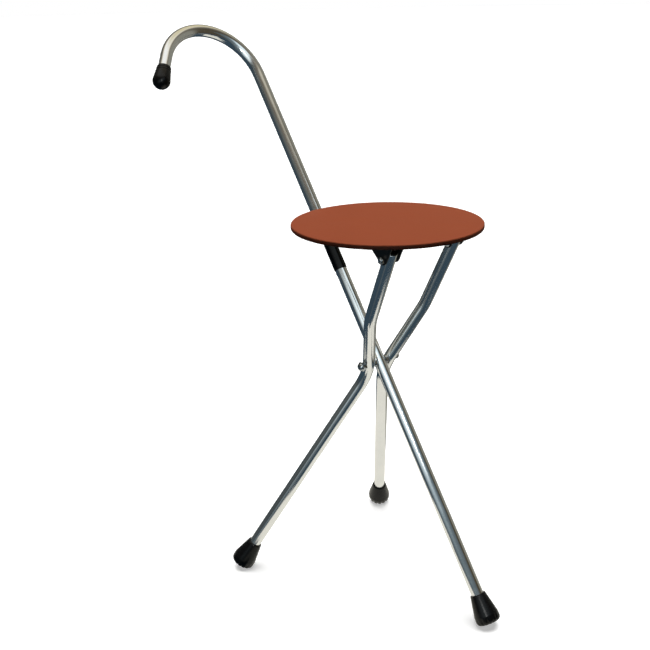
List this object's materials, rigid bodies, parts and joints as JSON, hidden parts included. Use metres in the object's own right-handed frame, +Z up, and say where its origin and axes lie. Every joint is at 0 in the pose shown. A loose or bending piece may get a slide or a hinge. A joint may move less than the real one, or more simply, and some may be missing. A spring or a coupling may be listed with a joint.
{
  "type": "folding tripod stool",
  "caption": "Folding walking-stick stool: a tube cane with a crook handle, bent tube legs on a shared pivot bolt, and a round seat hinged to the legs and to a sleeve that slides on the cane.",
  "frame": {"origin": "on the floor, under the middle of the stool's box", "axes": "+Z up; +X the way the cane leans, from its foot to its handle, in the plane of the fold; +Y the side the crook bends to"},
  "size_m": [0.4874, 0.3222, 0.7407],
  "materials": {
    "tube": "polished tube",
    "seat": "satin orange-brown moulding",
    "rubber": "black moulded rubber",
    "black_plastic": "black moulding",
    "bracket": "black coated strip",
    "fastener": "zinc plated"
  },
  "bodies": {
    "cane": {"cane_tube": "tube", "handle_cap": "rubber", "cane_ferrule": "rubber", "cane_ferrule_disc": "fastener", "pivot_bolt": "fastener", "pivot_cap_nut": "fastener", "sleeve_stop_rivet": "tube"},
    "left_leg": {"left_leg_tube": "tube", "left_ferrule": "rubber", "left_ferrule_disc": "fastener", "left_leg_plug": "black_plastic", "left_pivot_spacer": "fastener", "left_pivot_washer": "fastener"},
    "right_leg": {"right_leg_tube": "tube", "right_ferrule": "rubber", "right_ferrule_disc": "fastener", "right_leg_plug": "black_plastic", "right_pivot_spacer": "fastener", "right_pivot_washer": "fastener"},
    "seat": {"seat_disc": "seat", "left_bracket": "bracket", "left_bracket_screw_1": "fastener", "left_bracket_screw_2": "fastener", "left_hinge_bolt": "fastener", "left_hinge_nut": "fastener", "right_bracket": "bracket", "right_bracket_screw_1": "fastener", "right_bracket_screw_2": "fastener", "right_hinge_bolt": "fastener", "right_hinge_nut": "fastener", "slide_bracket": "bracket", "slide_bracket_screw_1": "fastener", "slide_bracket_screw_2": "fastener"},
    "sleeve": {"slide_sleeve": "black_plastic", "left_trunnion_screw": "fastener", "right_trunnion_screw": "fastener"}
  },
  "joints": [
    {"name": "fold", "type": "hinge", "parent": "cane", "child": "left_leg", "pos_m": [-0.0342, -0.00798, 0.3135], "axis": [0, 1, 0], "range_deg": [0, 57.2]},
    {"name": "right_fold", "type": "hinge", "parent": "cane", "child": "right_leg", "pos_m": [-0.0342, -0.00798, 0.3135], "axis": [0, 1, 0], "range_deg": [0, 57.3]},
    {"name": "seat_hinge", "type": "hinge", "parent": "left_leg", "child": "seat", "pos_m": [-0.10902, -0.00798, 0.47798], "axis": [0, 1, 0], "range_deg": [-114.5, 0]},
    {"name": "sleeve_hinge", "type": "hinge", "parent": "seat", "child": "sleeve", "pos_m": [0.07168, -0.00798, 0.47798], "axis": [0, 1, 0], "range_deg": [0, 57.3]}
  ],
  "couplings": [
    {"joint": "right_fold", "follows": "fold", "ratio": 1},
    {"joint": "seat_hinge", "follows": "fold", "ratio": -2},
    {"joint": "sleeve_hinge", "follows": "fold", "ratio": 1}
  ]
}
